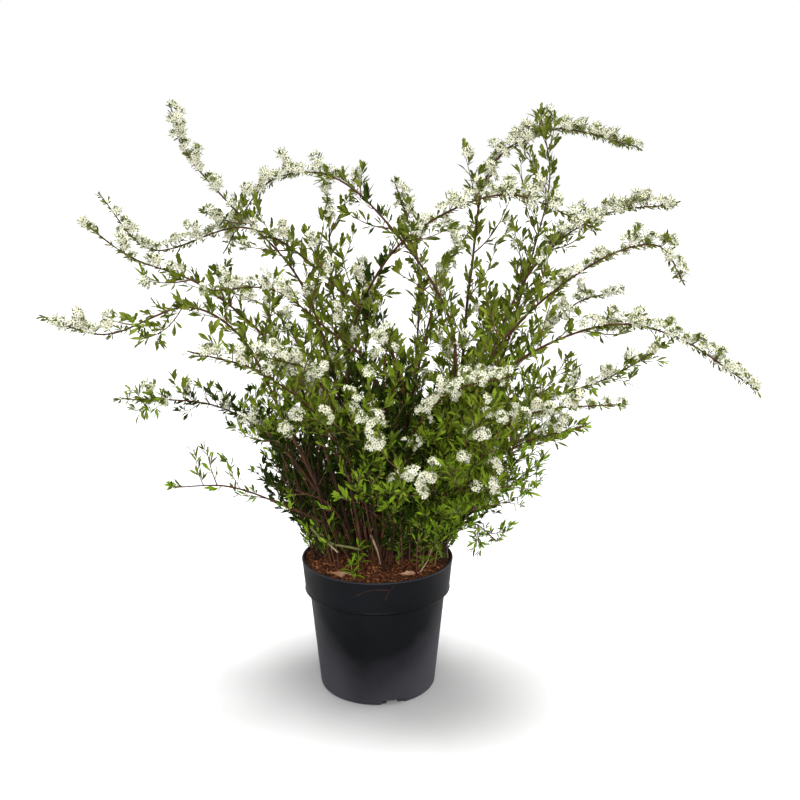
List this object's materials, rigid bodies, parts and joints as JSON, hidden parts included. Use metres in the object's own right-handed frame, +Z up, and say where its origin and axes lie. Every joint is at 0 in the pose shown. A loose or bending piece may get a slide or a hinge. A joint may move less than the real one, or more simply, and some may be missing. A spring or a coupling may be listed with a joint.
{
  "type": "potted spirea shrub",
  "caption": "Flowering shrub with long arching shoots, narrow green leaves and garlands of small white flower heads, in a round black nursery pot.",
  "frame": {"origin": "middle of the pot's flat underside, on the ground", "axes": "+Z up along the pot's axis, +X to the shrub's right-hand side and +Y to its back"},
  "size_m": [1.2078, 0.8145, 1.0864],
  "materials": {
    "pot": "satin moulded charcoal-black plastic",
    "soil": "loose reddish-brown bark and coir",
    "bark": "thin matt red-brown bark",
    "foliage": "matt leaves and blossom"
  },
  "bodies": {
    "root": {"pot": "pot", "soil": "soil", "north_west_wisp_bough": "bark", "north_west_wisp_spray": "foliage", "west_crown_arch_bough": "bark", "west_crown_arch_spray": "foliage", "west_high_bough": "bark", "west_high_spray": "foliage", "west_mid_bough": "bark", "west_mid_spray": "foliage", "west_long_bough": "bark", "west_long_spray": "foliage", "west_bloom_bough": "bark", "west_bloom_spray": "foliage", "west_shelf_bough": "bark", "west_shelf_spray": "foliage", "crown_left_bough": "bark", "crown_left_spray": "foliage", "crown_mid_bough": "bark", "crown_mid_spray": "foliage", "north_east_high_bough": "bark", "north_east_high_spray": "foliage", "east_spire_bough": "bark", "east_spire_spray": "foliage", "east_bow_bough": "bark", "east_bow_spray": "foliage", "east_high_bough": "bark", "east_high_spray": "foliage", "east_arch_bough": "bark", "east_arch_spray": "foliage", "east_long_bough": "bark", "east_long_spray": "foliage", "east_mid_bough": "bark", "east_mid_spray": "foliage", "east_low_bough": "bark", "east_low_spray": "foliage", "east_twig_bough": "bark", "east_twig_spray": "foliage", "front_left_bough": "bark", "front_left_spray": "foliage", "front_right_bough": "bark", "front_right_spray": "foliage", "front_mid_spray": "foliage", "front_high_spray": "foliage", "back_right_bough": "bark", "back_right_spray": "foliage", "back_mid_bough": "bark", "back_mid_spray": "foliage", "back_left_bough": "bark", "back_left_spray": "foliage", "west_twig_spray": "foliage", "west_skirt_spray": "foliage", "east_skirt_spray": "foliage", "east_droop_spray": "foliage", "apron_west_spray": "foliage", "apron_mid_spray": "foliage", "apron_east_spray": "foliage", "apron_right_spray": "foliage", "back_low_right_spray": "foliage", "back_low_left_spray": "foliage"}
  },
  "joints": []
}
